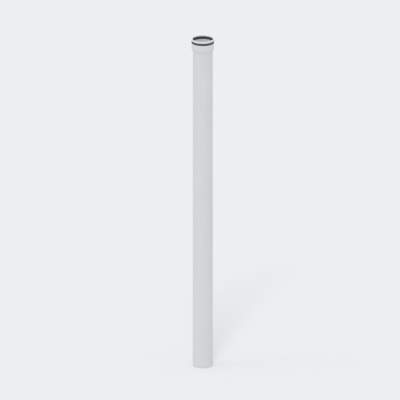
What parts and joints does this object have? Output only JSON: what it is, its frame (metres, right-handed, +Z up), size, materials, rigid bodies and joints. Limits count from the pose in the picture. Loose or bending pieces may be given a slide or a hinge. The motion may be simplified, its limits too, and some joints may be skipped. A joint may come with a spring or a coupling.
{
  "type": "polypropylene sewer pipe",
  "caption": "Straight white polypropylene sewer pipe with a chamfered spigot end and, at the other end, a socket closed by a dark rubber lip seal and a white lock ring.",
  "frame": {"origin": "centre of the spigot end, on the floor that the pipe stands on", "axes": "+Z up the pipe's axis, from the spigot end to the socket's mouth; the pipe is round, so X and Y are any two directions across it"},
  "size_m": [0.1018, 0.1018, 1.551],
  "materials": {
    "pipe": "satin, as extruded",
    "seal_ring": "matt moulded rubber",
    "lock_ring": "satin, as moulded"
  },
  "bodies": {
    "root": {"pipe": "pipe", "seal_ring": "seal_ring", "lock_ring": "lock_ring"}
  },
  "joints": []
}
